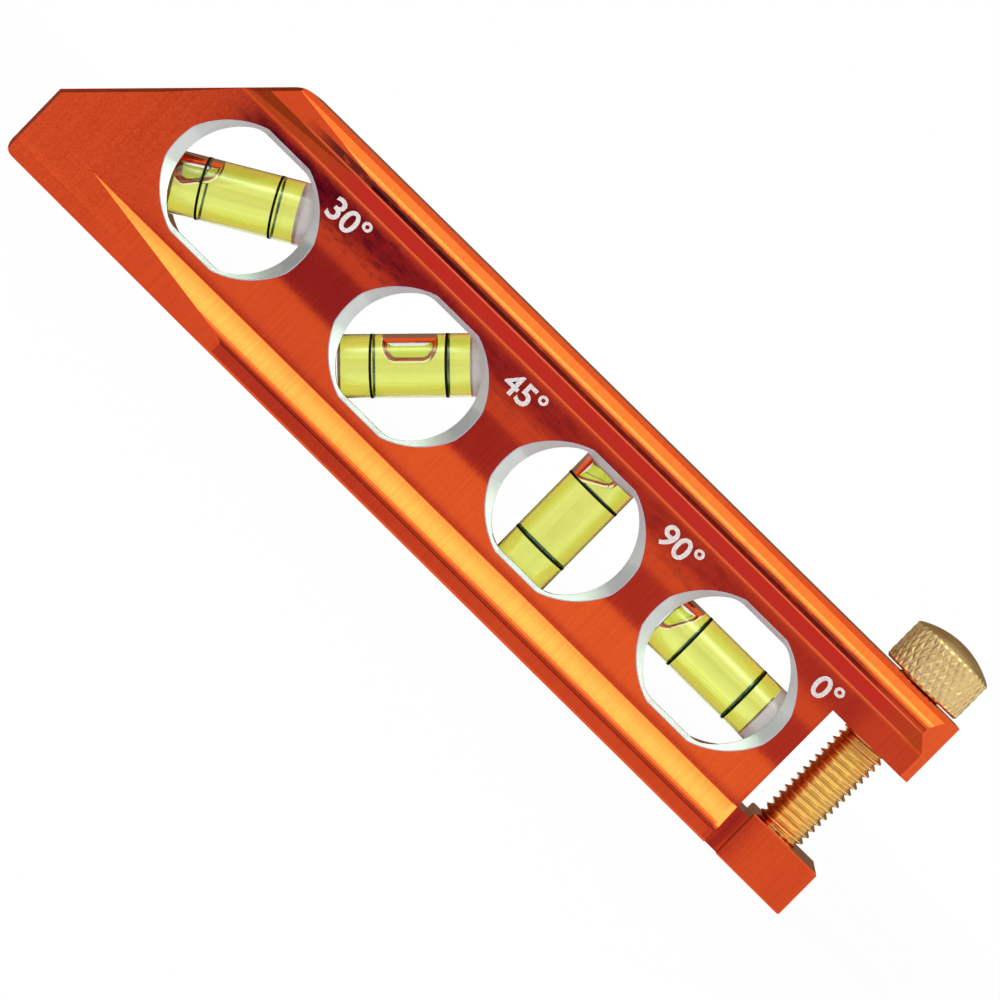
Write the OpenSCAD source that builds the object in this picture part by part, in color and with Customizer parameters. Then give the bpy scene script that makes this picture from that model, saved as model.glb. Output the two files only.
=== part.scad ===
// Pocket spirit level with four vials and a conduit clamp screw.
// X runs along the level with the nose at -X, Y through its thickness and Z up.
// The origin is on the base, under the middle of the body.

/* [Body] */
// Overall length
level_l = 158.75; // [156:0.25:176]
// Height from the base to the top face
level_h = 37.5; // [36:0.5:40]
// Thickness across the rails
level_w = 17; // [16:0.5:20]
// How far the rails stand proud of the web on each side
rail_proud = 2.25; // [1.5:0.05:2.4]
// Height of the flat side of the base rail
base_flat_h = 2.6; // [2:0.1:3]
// Height of the slope from the base rail to the web
base_slope_h = 4.25; // [3:0.25:4.5]
// Rounding of the ridge on the base rail
ridge_r = 2; // [0.5:0.1:3]
// Height of the slope from the web to the top rail
top_slope_h = 2.4; // [1.5:0.1:3]
// Height of the flat side of the top rail
top_flat_h = 1.1; // [0.8:0.1:1.5]
// Height of the slope over the top rail
crown_h = 3; // [2:0.1:3.2]
// How far the slope over the top rail leans in
crown_in = 1.85; // [1:0.05:2.5]
// Rounding of the ridge under the slope over the top rail
crown_r = 1.8; // [0.2:0.1:2]
// Edge break of the long edges
edge_break = 0.4; // [0.2:0.05:0.6]
// Fine edge break where the slopes meet the web and the top rail
fine_break = 0.2; // [0.1:0.05:0.3]

/* [Nose] */
// Height of the blunt end face
nose_end_h = 12; // [8:0.1:14]
// Angle of the slanted top of the nose
nose_a = 44.5; // [40:0.5:50]
// Thickness at the very tip
nose_end_w = 10.8; // [10:0.1:12]
// Length over which the sides taper to the tip
nose_taper_l = 43; // [30:1:50]
// Rounding of the lower corner
nose_r = 1.8; // [1:0.1:3]
// Rounding where the slant meets the top
nose_top_r = 4; // [1:0.5:6]
// Edge break along the slant and the end face
nose_break = 0.6; // [0.3:0.05:0.8]

/* [Base groove] */
// Width of the V groove at the base
groove_w = 8; // [6:0.5:9]
// Diameter of a magnet
magnet_d = 6.35; // [5:0.05:8]
// Thickness of a magnet
magnet_t = 3; // [2:0.25:3.5]
// Height of the magnet faces above the base
magnet_sink = 2.4; // [2:0.1:2.6]
// Radial fit of a magnet in its pocket
magnet_fit = 0.02; // [0:0.01:0.04]

/* [Windows] */
// Width of a window
window_d = 25.4; // [24:0.2:26.4]
// Height of a window between its flats
window_h = 20.7; // [19.5:0.1:21.5]
// How far the long arcs over and under a window cut into its circle
window_arc_in = 1.7; // [1.2:0.05:1.9]
// How much larger the radius of the long arcs is than the window's
window_arc_more = 0.8; // [0.4:0.1:3]
// Height of the windows over the middle of the level
window_rise = 0.1; // [0:0.05:0.5]
// Distance from the nose to the 30 degree window
window_30_u = 30.3; // [29:0.1:31]
// Wall left between the last window and the clamp gap
window_end_wall = 3.3; // [2.5:0.1:4.5]
// Shift of the 45 degree window from an even spacing
window_45_shift = 2.1; // [1.2:0.1:2.8]
// Shift of the 90 degree window from an even spacing
window_90_shift = 1.6; // [0.8:0.1:2.4]
// Edge break round a window on the back
window_break = 0.5; // [0.3:0.1:0.8]

/* [Window bezels] */
// Depth of a bezel behind the web face
bezel_t = 2.5; // [2.2:0.1:3]
// Width of the flat rim round the front of a bezel
bezel_rim = 0.15; // [0.1:0.05:0.3]
// Width of the slopes of a bezel at the ends of its window
bezel_end_w = 1.95; // [1.6:0.05:2.2]
// Width of the slopes at the flats
bezel_flat_w = 0.8; // [0.6:0.05:1]
// Depth of the outer slope
bezel_slope_t = 1; // [0.6:0.1:1.2]
// Share of the width that the steeper inner slope takes
bezel_inner_share = 0.3; // [0.2:0.05:0.45]
// Depth of the inner slope
bezel_inner_t = 0.9; // [0.5:0.1:1]
// Radial fit of a bezel in its window
bezel_fit = 0.02; // [0:0.01:0.04]

/* [Vials] */
// Outer diameter of a vial
vial_d = 9.4; // [8.5:0.1:9.8]
// Diameter of the liquid chamber at its ends
chamber_d = 6.6; // [6:0.1:7]
// Rise of the barrel shaped chamber at its middle
barrel_rise = 0.12; // [0.05:0.01:0.2]
// Depth that the corners of a vial's ends sit in the window wall
vial_seat = 0.7; // [0.3:0.05:0.8]
// Length of the chamber on the closed side of the middle
chamber_closed_l = 10.4; // [9.8:0.1:10.8]
// Length of the chamber on the plugged side of the middle
chamber_open_l = 9; // [8.6:0.1:9.6]
// How far the 30 degree vial lies from the middle of its window, towards the nose
vial_30_back = 0.85; // [0:0.05:1]
// How far the 45 degree vial lies from the middle of its window, towards the nose
vial_45_back = 0.3; // [0:0.05:0.6]
// Radial fit of a vial in its seats
vial_fit = 0.02; // [0:0.01:0.04]
// Radial fit of the plug in the tube
plug_fit = 0.01; // [0:0.01:0.03]
// Distance between the two reading lines
line_gap = 11.1; // [10:0.1:12]
// Width of a reading line
line_w = 0.4; // [0.3:0.05:0.6]
// Thickness of the paint of a reading line
line_t = 0.06; // [0.04:0.01:0.1]

/* [Bubbles] */
// Length of the bubble in the middle of the 45 degree vial
bubble_l = 8.4; // [7:0.1:9]
// Rounding of that bubble and of the one in the 30 degree vial
bubble_r = 2.3; // [2:0.1:2.5]
// Distance from the vial axis to the underside of the middle bubble
bubble_low = 0.2; // [0:0.1:1]
// Length of the bubble that leans on the end of the 30 degree vial
lean_bubble_l = 7.6; // [6:0.1:8.5]
// Distance from the end of the chamber to the middle of that bubble
lean_bubble_in = 3.4; // [3:0.1:4.5]
// Tilt of that bubble
lean_bubble_a = 15; // [5:1:25]
// Length of the bubbles in the upper corner of the 90 and 0 degree vials
corner_bubble_l = 6.8; // [5.5:0.1:7.5]
// Rounding of the corner bubbles
corner_bubble_r = 2.2; // [1.8:0.1:2.5]
// Distance from the end of the chamber to the middle of a corner bubble
corner_bubble_in = 0.8; // [0.5:0.1:2]
// Height of the middle of a corner bubble over the vial axis
corner_bubble_up = 1.9; // [1:0.1:2.4]
// Tilt of a corner bubble
corner_bubble_a = 54; // [40:1:65]

/* [Clamp] */
// Length of the arm beyond the web
arm_l = 15.05; // [14.5:0.05:17]
// Height of the arm, with the top rail
arm_h = 10.9; // [9.5:0.1:12]
// Length of the bevel on the corners of the arm's end
arm_bevel = 3.7; // [2:0.1:4]
// Length of the anvil
anvil_l = 12.85; // [12:0.05:13.5]
// Height of the anvil
anvil_h = 8.1; // [7.4:0.1:9]
// Height of the neck between the anvil and the web
neck_h = 7; // [6:0.1:7.2]
// Edge break of the anvil
anvil_break = 0.25; // [0.1:0.05:0.5]

/* [Thumb screw] */
// Thread diameter over the crests
thread_d = 7.94; // [6:0.01:8.5]
// Thread pitch
thread_pitch = 1.25; // [0.75:0.05:1.5]
// Depth of the thread
thread_depth = 0.68; // [0.4:0.02:0.8]
// Radial clearance of the screw in the arm and of the head on the stud
screw_fit = 0.05; // [0.02:0.01:0.08]
// Distance from the end of the arm to the screw axis
screw_from_end = 7.95; // [7.5:0.05:8.5]
// Lead-in chamfer of the screw and of its hole
lead_in = 0.5; // [0.3:0.1:0.8]
// Diameter of the knurled head
head_d = 13.9; // [12:0.1:15]
// Height of the knurled band
head_h = 7; // [6:0.1:9]
// Height of the domed top
dome_h = 1.8; // [1:0.1:2.5]
// Gap under the head with the screw run down on the anvil
head_gap = 0.35; // [0.2:0.05:1]
// Depth that the stud goes into the head
head_socket = 5.5; // [4:0.5:6.5]
// Edge break of the head
head_break = 0.35; // [0.2:0.05:0.6]

/* [Hidden] */

// A small overshoot that lets a cut run past the face it opens
over = 1;
fine_fn = 96;
round_fn = 64;

half_w = level_w / 2;
web_t = level_w - 2 * rail_proud;
half_web = web_t / 2;
web_low_z = base_flat_h + base_slope_h;
web_top_z = level_h - crown_h - top_flat_h - top_slope_h;
top_rail_z = level_h - crown_h - top_flat_h;
crown_z = level_h - crown_h;

window_z = level_h / 2 + window_rise;
window_arc_r = window_d / 2 + window_arc_more;
arc_mid = window_arc_in + window_arc_more;
slot_u = level_l - arm_l;
arm_z = level_h - arm_h;
anvil_u = level_l - anvil_l;
screw_u = level_l - screw_from_end;
window_0_u = slot_u - window_end_wall - window_d / 2;
window_step = (window_0_u - window_30_u) / 3;
window_45_u = window_30_u + window_step + window_45_shift;
window_90_u = window_30_u + 2 * window_step + window_90_shift;

taper_a = atan((level_w - nose_end_w) / 2 / nose_taper_l);
slant_u = (level_h - nose_end_h) / tan(nose_a);

// Bubbles: the level is held nose up, so each bubble lies at the high side or the high end of its vial
bubble_up = bubble_low + bubble_r;
lean_bubble_x = lean_bubble_in - chamber_closed_l;
closed_corner_x = corner_bubble_in - chamber_closed_l;
plug_corner_x = chamber_open_l - corner_bubble_in;

vial_l = 2 * (sqrt(pow(window_d / 2, 2) - pow(vial_d / 2, 2)) + vial_seat);
chamber_l = chamber_closed_l + chamber_open_l;
chamber_mid = (chamber_open_l - chamber_closed_l) / 2;

magnet_1_u = (window_30_u + window_45_u) / 2;
magnet_2_u = (window_45_u + window_90_u) / 2;
magnet_3_u = (window_90_u + window_0_u) / 2;

thread_r = thread_d / 2;
bore_r = thread_r + screw_fit;
head_z = level_h + head_gap;
stud_top_z = head_z + head_socket;
stud_l = stud_top_z - anvil_h;
turns = floor((stud_l - head_socket - 2 * lead_in) / thread_pitch);

ANODISED = [0.85, 0.27, 0.10];
BARE = [0.80, 0.82, 0.84];
CLEAR = [0.85, 0.92, 0.92];
LIQUID = [0.80, 0.90, 0.25];
PAINT = [0.05, 0.05, 0.05];
BRASS = [0.88, 0.70, 0.30];
NICKEL = [0.70, 0.70, 0.72];

// Unit vector from a to b, and the corner of a path rounded with a radius in n steps
function unit(a, b) = (b - a) / norm(b - a);
function corner(a, p, b, r, n) =
    let (
        u = unit(p, a),
        v = unit(p, b),
        half = acos(max(-1, min(1, u * v))) / 2,
        reach = r / tan(half),
        mid = unit([0, 0], u + v),
        centre = p + mid * r / sin(half),
        start = p + u * reach - centre,
        end = p + v * reach - centre,
        a0 = atan2(start[1], start[0]),
        turn = atan2(start[0] * end[1] - start[1] * end[0], start * end)
    )
    [for (i = [0 : n]) centre + r * [cos(a0 + turn * i / n), sin(a0 + turn * i / n)]];

// How far a vial lies from the middle of its window
function vial_back(a) = a == 30 ? vial_30_back : a == 45 ? vial_45_back : 0;

// Moves from distances along the level to its own frame, and to the middle of a vial
module along(u, z = 0) {
    translate([u - level_l / 2, 0, z]) children();
}
module in_window(u, a) {
    along(u - vial_back(a), window_z) rotate([0, -a, 0]) children();
}

// Stands a flat outline, drawn as X and Z, up with a thickness centred on the middle plane
module upright(t) {
    rotate([90, 0, 0]) translate([0, 0, -t / 2]) linear_extrude(t) children();
}

// Side view of the body with its nose and arm
module side_outline() {
    base_corner = [0, 0];
    slant_low = [0, nose_end_h];
    slant_top = [slant_u, level_h];
    arm_top = [level_l, level_h];
    polygon(concat(
        corner([slot_u, 0], base_corner, slant_low, nose_r, 6),
        [slant_low],
        corner(slant_low, slant_top, arm_top, nose_top_r, 4),
        [arm_top, [level_l, arm_z], [slot_u, arm_z], [slot_u, 0]]
    ));
}

// Right half of the rail section, as Y and Z from the base upward
function rail_half() =
    let (
        ridge = [half_w, base_flat_h],
        web_low = [half_web, web_low_z],
        web_top = [half_web, web_top_z],
        rail_low = [half_w, top_rail_z],
        rail_top = [half_w, crown_z],
        crown = [half_w - crown_in, level_h]
    )
    concat(
        [[half_w - edge_break, 0], [half_w, edge_break]],
        corner([half_w, 0], ridge, web_low, ridge_r, 5),
        corner(ridge, web_low, web_top, fine_break, 1),
        corner(web_low, web_top, rail_low, fine_break, 1),
        corner(web_top, rail_low, rail_top, fine_break, 1),
        corner(rail_low, rail_top, crown, crown_r, 5),
        corner(rail_top, crown, [0, level_h], edge_break, 2)
    );

module rail_section() {
    right = rail_half();
    count = len(right);
    left = [for (i = [count - 1 : -1 : 0]) [-right[i][0], right[i][1]]];
    polygon(concat(right, left));
}

// Plan of the body: tapered nose and bevelled end of the arm
module plan_outline() {
    tip = nose_end_w / 2;
    bevel_u = level_l - arm_bevel;
    bevel_y = half_w - arm_bevel;
    polygon([
        [0, -tip], [nose_taper_l, -half_w], [bevel_u, -half_w], [level_l, -bevel_y],
        [level_l, bevel_y], [bevel_u, half_w], [nose_taper_l, half_w], [0, tip]
    ]);
}

// Edge break along the slant and the end face of the nose, on the side at -Y
module nose_edge_cut() {
    slant_l = slant_u / cos(nose_a);
    rise_a = atan(tan(nose_a) * cos(taper_a));
    side = nose_break * sqrt(2);
    translate([0, -nose_end_w / 2, 0]) rotate([0, 0, -taper_a]) {
        translate([0, 0, nose_end_h]) rotate([0, -rise_a, 0]) rotate([45, 0, 0])
            translate([-over, -side / 2, -side / 2]) cube([slant_l + 2 * over, side, side]);
        rotate([0, 0, 45]) translate([-side / 2, -side / 2, -over])
            cube([side, side, nose_end_h + 1.2 * over]);
    }
}

// Outline of a window, shrunk all round by w: a circle cut by two longer arcs and two flats
module window_outline(w = 0) {
    intersection() {
        circle(r = window_d / 2 - w, $fn = fine_fn);
        translate([0, arc_mid]) circle(r = window_arc_r - w, $fn = fine_fn);
        translate([0, -arc_mid]) circle(r = window_arc_r - w, $fn = fine_fn);
        square([2 * window_d, window_h - 2 * w], center = true);
    }
}

// Cone along +Y that widens from radius r1 to r2, centred at a height
module side_cone(r1, r2, t, z) {
    translate([0, 0, z]) rotate([-90, 0, 0]) cylinder(h = t, r1 = r1, r2 = r2, $fn = fine_fn);
}

// Edge break round a window on the back, c wide, with the web's face at Y = 0 and -Y outside
module window_edge(c) {
    lead = 0.2;
    wide = c + lead;
    flat_z = window_h / 2;
    translate([0, -lead, 0]) intersection() {
        side_cone(window_d / 2 + wide, window_d / 2, wide, 0);
        side_cone(window_arc_r + wide, window_arc_r, wide, arc_mid);
        side_cone(window_arc_r + wide, window_arc_r, wide, -arc_mid);
        rotate([90, 0, 90]) translate([0, 0, -window_d]) linear_extrude(2 * window_d)
            polygon([[0, -flat_z - wide], [wide, -flat_z], [wide, flat_z], [0, flat_z + wide]]);
    }
}

// A rod along X, centred on the origin
module rod(l, d) {
    rotate([0, 90, 0]) cylinder(h = l, d = d, center = true, $fn = round_fn);
}

// A rectangle with its corners cut, centred on the origin
module cut_square(l, w, c) {
    x = l / 2;
    y = w / 2;
    polygon([
        [c - x, -y], [x - c, -y], [x, c - y], [x, y - c],
        [x - c, y], [c - x, y], [-x, y - c], [-x, c - y]
    ]);
}

// A block on the base with all its edges broken, from X = 0 on
module broken_block(l, w, h, c) {
    translate([l / 2, 0, h / 2]) intersection() {
        upright(2 * w) cut_square(l, h, c);
        linear_extrude(2 * h, center = true) cut_square(l, w, c);
        rotate([90, 0, 90]) linear_extrude(2 * l, center = true) cut_square(w, h, c);
    }
}

// Main bar of the body, with its rails, nose and arm
module bar() {
    along(0) difference() {
        intersection() {
            upright(2 * level_w) side_outline();
            rotate([90, 0, 90]) linear_extrude(level_l) rail_section();
            linear_extrude(level_h) plan_outline();
        }
        nose_edge_cut();
        mirror([0, 1, 0]) nose_edge_cut();
    }
}

// Fixed jaw under the screw, and the neck that joins it to the web
module anvil() {
    along(anvil_u) broken_block(anvil_l, level_w, anvil_h, anvil_break);
    along(slot_u - over) translate([0, -half_web, 0])
        cube([anvil_u - slot_u + 2 * over, web_t, neck_h]);
}

// Window through the web, with the seats of its vial, which goes in from the back
module window(u, a) {
    along(u, window_z) {
        rotate([90, 0, 0]) linear_extrude(2 * level_w, center = true) window_outline();
        mirror([0, 1, 0]) translate([0, -half_web, 0]) window_edge(window_break);
    }
    seat_d = vial_d + 2 * vial_fit;
    in_window(u, a) {
        rod(vial_l, seat_d);
        translate([-vial_l / 2, 0, -seat_d / 2]) cube([vial_l, level_w, seat_d]);
    }
}

module base_groove() {
    side = groove_w / sqrt(2);
    along(-over) rotate([45, 0, 0]) translate([0, -side / 2, -side / 2])
        cube([level_l + 2 * over, side, side]);
}

module magnet_pocket(u) {
    along(u, -over)
        cylinder(h = over + magnet_sink + magnet_t, d = magnet_d + 2 * magnet_fit, $fn = round_fn);
}

// Hole for the screw through the arm, with a lead-in at each end
module screw_hole() {
    along(screw_u) {
        translate([0, 0, arm_z - over])
            cylinder(h = arm_h + 2 * over, r = bore_r, $fn = round_fn);
        for (end = [[arm_z, 1], [level_h, -1]])
            translate([0, 0, end[0]]) mirror([0, 0, end[1] < 0 ? 1 : 0]) translate([0, 0, -lead_in])
                cylinder(h = 2 * lead_in, r1 = bore_r + 2 * lead_in, r2 = bore_r, $fn = round_fn);
    }
}

module level_body() {
    color(ANODISED) difference() {
        union() {
            bar();
            anvil();
        }
        window(window_30_u, 30);
        window(window_45_u, 45);
        window(window_90_u, 90);
        window(window_0_u, 0);
        base_groove();
        magnet_pocket(magnet_1_u);
        magnet_pocket(magnet_2_u);
        magnet_pocket(magnet_3_u);
        screw_hole();
    }
}

// How far the outline of a window and the opening of its bezel reach from the middle, at an angle
function flat_reach(r, h, a) = min(r, h / 2 / max(abs(sin(a)), 0.01));
function window_reach(a) =
    flat_reach(
        min(window_d / 2, sqrt(pow(window_arc_r, 2) - pow(arc_mid * cos(a), 2)) - arc_mid * abs(sin(a))),
        window_h, a
    );
function opening_reach(a) = flat_reach(window_d / 2 - bezel_end_w, window_h - 2 * bezel_flat_w, a);

// The hollow of a bezel, from the web's face at Y = 0: an outer slope, an inner slope and a straight wall
module bezel_hollow() {
    count = 72;
    lead = 0.1;
    low_y = bezel_slope_t + bezel_inner_t;
    angles = [for (i = [0 : count - 1]) 360 * i / count];
    outer = [for (a = angles) window_reach(a) - bezel_rim];
    inner = [for (a = angles) opening_reach(a)];
    mid = [for (i = [0 : count - 1]) inner[i] + (outer[i] - inner[i]) * bezel_inner_share];
    rings = [
        [-lead, [for (i = [0 : count - 1]) outer[i] + (outer[i] - mid[i]) * lead / bezel_slope_t]],
        [bezel_slope_t, mid], [low_y, inner], [bezel_t + over, inner]
    ];
    points = [
        for (ring = rings) for (i = [0 : count - 1])
            [ring[1][i] * cos(angles[i]), ring[0], ring[1][i] * sin(angles[i])]
    ];
    last = (len(rings) - 1) * count;
    faces = concat(
        [[for (i = [count - 1 : -1 : 0]) i]],
        [for (k = [0 : len(rings) - 2]) for (i = [0 : count - 1])
            let (a = k * count + i, b = k * count + (i + 1) % count)
            each [[a, b, b + count], [a, b + count, a + count]]],
        [[for (i = [0 : count - 1]) last + i]]
    );
    polyhedron(points = points, faces = faces);
}

// Bright bezel pressed into the front of a window, over the ends of the vial
module vial_bezel(u, a) {
    color(BARE) difference() {
        along(u, window_z) translate([0, -half_web, 0]) difference() {
            rotate([-90, 0, 0]) linear_extrude(bezel_t) window_outline(bezel_fit);
            bezel_hollow();
        }
        in_window(u, a) rod(vial_l, vial_d + 2 * vial_fit);
    }
}

// Barrel shaped chamber of a vial, which lets the bubble settle
module chamber() {
    steps = 8;
    side = [
        for (i = [0 : steps])
            let (k = 2 * i / steps - 1)
            [chamber_d / 2 + barrel_rise * (1 - k * k), chamber_l * k / 2]
    ];
    translate([chamber_mid, 0, 0]) rotate([0, 90, 0]) rotate_extrude($fn = round_fn)
        polygon(concat([[0, -chamber_l / 2]], side, [[0, chamber_l / 2]]));
}

// Clear tube, closed at one end
module vial_tube(u, a) {
    color(CLEAR) in_window(u, a) difference() {
        rod(vial_l, vial_d);
        chamber();
        translate([chamber_open_l, 0, 0]) rotate([0, 90, 0])
            cylinder(h = vial_l, d = chamber_d, $fn = round_fn);
    }
}

// Plug that closes the other end
module vial_plug(u, a) {
    color(CLEAR) in_window(u, a) translate([chamber_open_l, 0, 0]) rotate([0, 90, 0])
        cylinder(h = vial_l / 2 - chamber_open_l, d = chamber_d - 2 * plug_fit, $fn = round_fn);
}

// A bubble: a rod of length l with round ends, its middle at x and z and tilted by an angle
module bubble(x, z, l, r, tilt) {
    reach = l / 2 - r;
    translate([x, 0, z]) rotate([0, 90 - tilt, 0]) rotate_extrude($fn = round_fn) intersection() {
        union() {
            square([2 * r, 2 * reach], center = true);
            for (end = [-reach, reach]) translate([0, end]) circle(r = r, $fn = round_fn);
        }
        translate([0, -l]) square(2 * l);
    }
}

// Liquid that fills the chamber round a bubble
module vial_liquid(u, a, x, z, l, r, tilt) {
    color(LIQUID) in_window(u, a) difference() {
        chamber();
        bubble(x, z, l, r, tilt);
    }
}
module corner_liquid(u, a, x, tilt) {
    vial_liquid(u, a, x, corner_bubble_up, corner_bubble_l, corner_bubble_r, tilt);
}

// The two reading lines, painted round the tube
module vial_lines(u, a) {
    color(PAINT) in_window(u, a) for (end = [-line_gap / 2, line_gap / 2])
        translate([end, 0, 0]) difference() {
            rod(line_w, vial_d + 2 * line_t);
            rod(line_w + over, vial_d);
        }
}

module magnet(u) {
    color(NICKEL) along(u, magnet_sink) cylinder(h = magnet_t, d = magnet_d, $fn = round_fn);
}

// Threaded stud, standing on the anvil, with its thread drawn as rings
module clamp_stud() {
    root_r = thread_r - thread_depth;
    crest = thread_pitch / 8;
    flank = (thread_pitch - 2 * crest) / 2;
    thread = [
        for (i = [0 : turns - 1])
            let (z = lead_in + i * thread_pitch)
            each [[thread_r, z], [thread_r, z + crest], [root_r, z + crest + flank],
                  [root_r, z + 2 * crest + flank]]
    ];
    color(BRASS) along(screw_u, anvil_h) rotate_extrude($fn = round_fn) polygon(concat(
        [[0, 0], [thread_r - lead_in, 0]],
        thread,
        [[thread_r, lead_in + turns * thread_pitch], [thread_r, stud_l - lead_in],
         [thread_r - lead_in, stud_l], [0, stud_l]]
    ));
}

// Head with its knurled band and domed top
module clamp_head() {
    r = head_d / 2;
    rim_r = r - head_break;
    dome_r = (rim_r * rim_r + dome_h * dome_h) / (2 * dome_h);
    color(BRASS) along(screw_u, head_z) difference() {
        union() {
            rotate_extrude($fn = fine_fn) polygon([
                [0, 0], [rim_r, 0], [r, head_break], [r, head_h - head_break], [rim_r, head_h], [0, head_h]
            ]);
            intersection() {
                translate([0, 0, head_h + dome_h - dome_r]) sphere(r = dome_r, $fn = fine_fn);
                translate([0, 0, head_h - over]) cylinder(h = dome_h + 2 * over, r = rim_r, $fn = fine_fn);
            }
        }
        translate([0, 0, -over]) cylinder(h = head_socket + over, r = bore_r, $fn = round_fn);
    }
}

level_body();

vial_bezel(window_30_u, 30);  // vial_bezel_30
vial_tube(window_30_u, 30);  // vial_tube_30
vial_plug(window_30_u, 30);  // vial_plug_30
vial_liquid(window_30_u, 30, lean_bubble_x, bubble_up, lean_bubble_l, bubble_r, lean_bubble_a);  // vial_liquid_30
vial_lines(window_30_u, 30);  // vial_lines_30

vial_bezel(window_45_u, 45);  // vial_bezel_45
vial_tube(window_45_u, 45);  // vial_tube_45
vial_plug(window_45_u, 45);  // vial_plug_45
vial_liquid(window_45_u, 45, 0, bubble_up, bubble_l, bubble_r, 0);  // vial_liquid_45
vial_lines(window_45_u, 45);  // vial_lines_45

vial_bezel(window_90_u, 90);  // vial_bezel_90
vial_tube(window_90_u, 90);  // vial_tube_90
vial_plug(window_90_u, 90);  // vial_plug_90
corner_liquid(window_90_u, 90, plug_corner_x, -corner_bubble_a);  // vial_liquid_90
vial_lines(window_90_u, 90);  // vial_lines_90

vial_bezel(window_0_u, 0);  // vial_bezel_0
vial_tube(window_0_u, 0);  // vial_tube_0
vial_plug(window_0_u, 0);  // vial_plug_0
corner_liquid(window_0_u, 0, closed_corner_x, corner_bubble_a);  // vial_liquid_0
vial_lines(window_0_u, 0);  // vial_lines_0

magnet(magnet_1_u);  // magnet_1
magnet(magnet_2_u);  // magnet_2
magnet(magnet_3_u);  // magnet_3

clamp_stud();
clamp_head();
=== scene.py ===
import math

import bmesh
import bpy
from mathutils import Matrix, Vector


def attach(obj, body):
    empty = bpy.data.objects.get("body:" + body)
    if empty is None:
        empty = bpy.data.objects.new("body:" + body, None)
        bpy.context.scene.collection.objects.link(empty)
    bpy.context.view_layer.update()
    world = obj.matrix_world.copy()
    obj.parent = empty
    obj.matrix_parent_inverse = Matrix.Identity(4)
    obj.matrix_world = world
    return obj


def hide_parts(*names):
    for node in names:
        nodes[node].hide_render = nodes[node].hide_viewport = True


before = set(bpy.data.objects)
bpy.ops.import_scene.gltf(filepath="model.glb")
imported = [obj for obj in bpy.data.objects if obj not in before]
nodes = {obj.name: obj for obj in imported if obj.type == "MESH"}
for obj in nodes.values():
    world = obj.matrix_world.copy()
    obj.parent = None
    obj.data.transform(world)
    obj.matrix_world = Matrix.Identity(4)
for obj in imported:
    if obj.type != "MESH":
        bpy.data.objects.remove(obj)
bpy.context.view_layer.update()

MM = 0.001

# Sizes are in millimetres, and u is the distance along the level from its nose.

LEVEL_L = 158.75
# Front of the web, and the height of the windows over the base
WEB_Y = -6.25
WINDOW_Z = 18.85
# Where the base rail ends, before the clamp
RAIL_END_U = 143
# How much the slope of the base rail is hollowed, by the square of the distance from its middle
SLOPE_BELLY = 0.007

# For each window: its middle along the level, and the angle of its vial in degrees
WINDOWS = {"30": (30.3, 30), "45": (64.867, 45), "90": (96.833, 90), "0": (127.7, 0)}
# How much nearer to the nose than the middle of its window each vial sits
VIAL_BACK = {"30": 0.85, "45": 0.3, "90": 0.0, "0": 0.0}
# Outline of a window: a circle, two longer arcs and two flats
WINDOW_D = 25.4
WINDOW_H = 20.7
WINDOW_ARC_R = 13.5
WINDOW_ARC_MID = 2.5

# Bezel: an opening with two flats, a rim, a broad slope and a steeper inner one
OPENING_R = 10.75
OPENING_H = 19.1
BEZEL_FIT = 0.02
BEZEL_RIM = 0.15
BEZEL_T = 1.5
# Share of the width that the inner slope takes, and depth of both slopes for their width
INNER_SHARE = 0.3
SLOPE_DEPTH = 0.79
BEZEL_STEPS = 288

# Vial: the ends of its chamber are along its own axis, from its middle
VIAL_R = 4.7
VIAL_L = 25.0
VIAL_STEPS = 96
TUBE_BREAK = 0.2
CHAMBER_R = 3.3
CHAMBER_LOW = -10.4
CHAMBER_HIGH = 9.0
BARREL_RISE = 0.12
# Gap between the chamber and the plug, and how far the plug stays inside the tube's faces
PLUG_GAP = 0.06
PLUG_IN = 0.1
# How far the liquid reaches into the tube's wall
LIQUID_SWELL = 0.012
# Painted shade in each liquid, a deeper tone past a straight edge: the tilt of its edge in degrees, how
# high it starts, and its share
PAINTED_SHADE_TONE = {"30": (41, 1.6, 1.0), "45": (45, 2.6, 0.6), "90": (90, 3.2, 0.2), "0": (0, 3.0, 0.3)}

# Printed numbers: their foot and height, then for each its left edge along the level and its width
MARK_Z = 26.1
MARK_H = 3.75
MARKS = {"30": (40.3, 6.9), "45": (76.2, 6.9), "90": (107.9, 7.0), "0": (138.9, 4.5)}
# How far outside the web the middle of the ink's layer lies, and half the layer's thickness
INK_OUT = 0.005
INK_HALF_T = 0.015
# How much bolder the figures are made, as a share of their size
FIGURE_SWELL = 0.018

# Thumb screw: the stud with its thread
SCREW_U = 150.8
ANVIL_H = 8.1
STUD_TOP_Z = 43.35
THREAD_R = 3.97
THREAD_PITCH = 1.25
THREAD_DEPTH = 0.68
THREAD_LEAD_IN = 0.6
# Half of the crest's width, as a share of half a pitch
THREAD_CREST = 0.13
RINGS_A_PITCH = 24
THREAD_STEPS = 72

# Thumb screw: the head with its socket, dome and knurl
HEAD_Z = 37.85
HEAD_R = 6.95
HEAD_H = 7.0
HEAD_BREAK = 0.35
DOME_H = 1.8
DOME_RINGS = 12
SOCKET_R = 4.02
SOCKET_H = 5.5
KNURL_TEETH = 34
KNURL_RISE = 2.7
KNURL_DEPTH = 0.2
KNURL_FLAT = 0.72
KNURL_RINGS = 64
STEPS_A_TOOTH = 10


def along(u, y=0.0, z=0.0):
    """A place in metres, from its distance along the level and its y and z in millimetres."""
    return Vector((u - LEVEL_L / 2, y, z)) * MM


def vial_middle(name):
    """The middle of a vial, in metres."""
    return along(WINDOWS[name][0] - VIAL_BACK[name], 0, WINDOW_Z)


SCREW_PLACE = along(SCREW_U)

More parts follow.
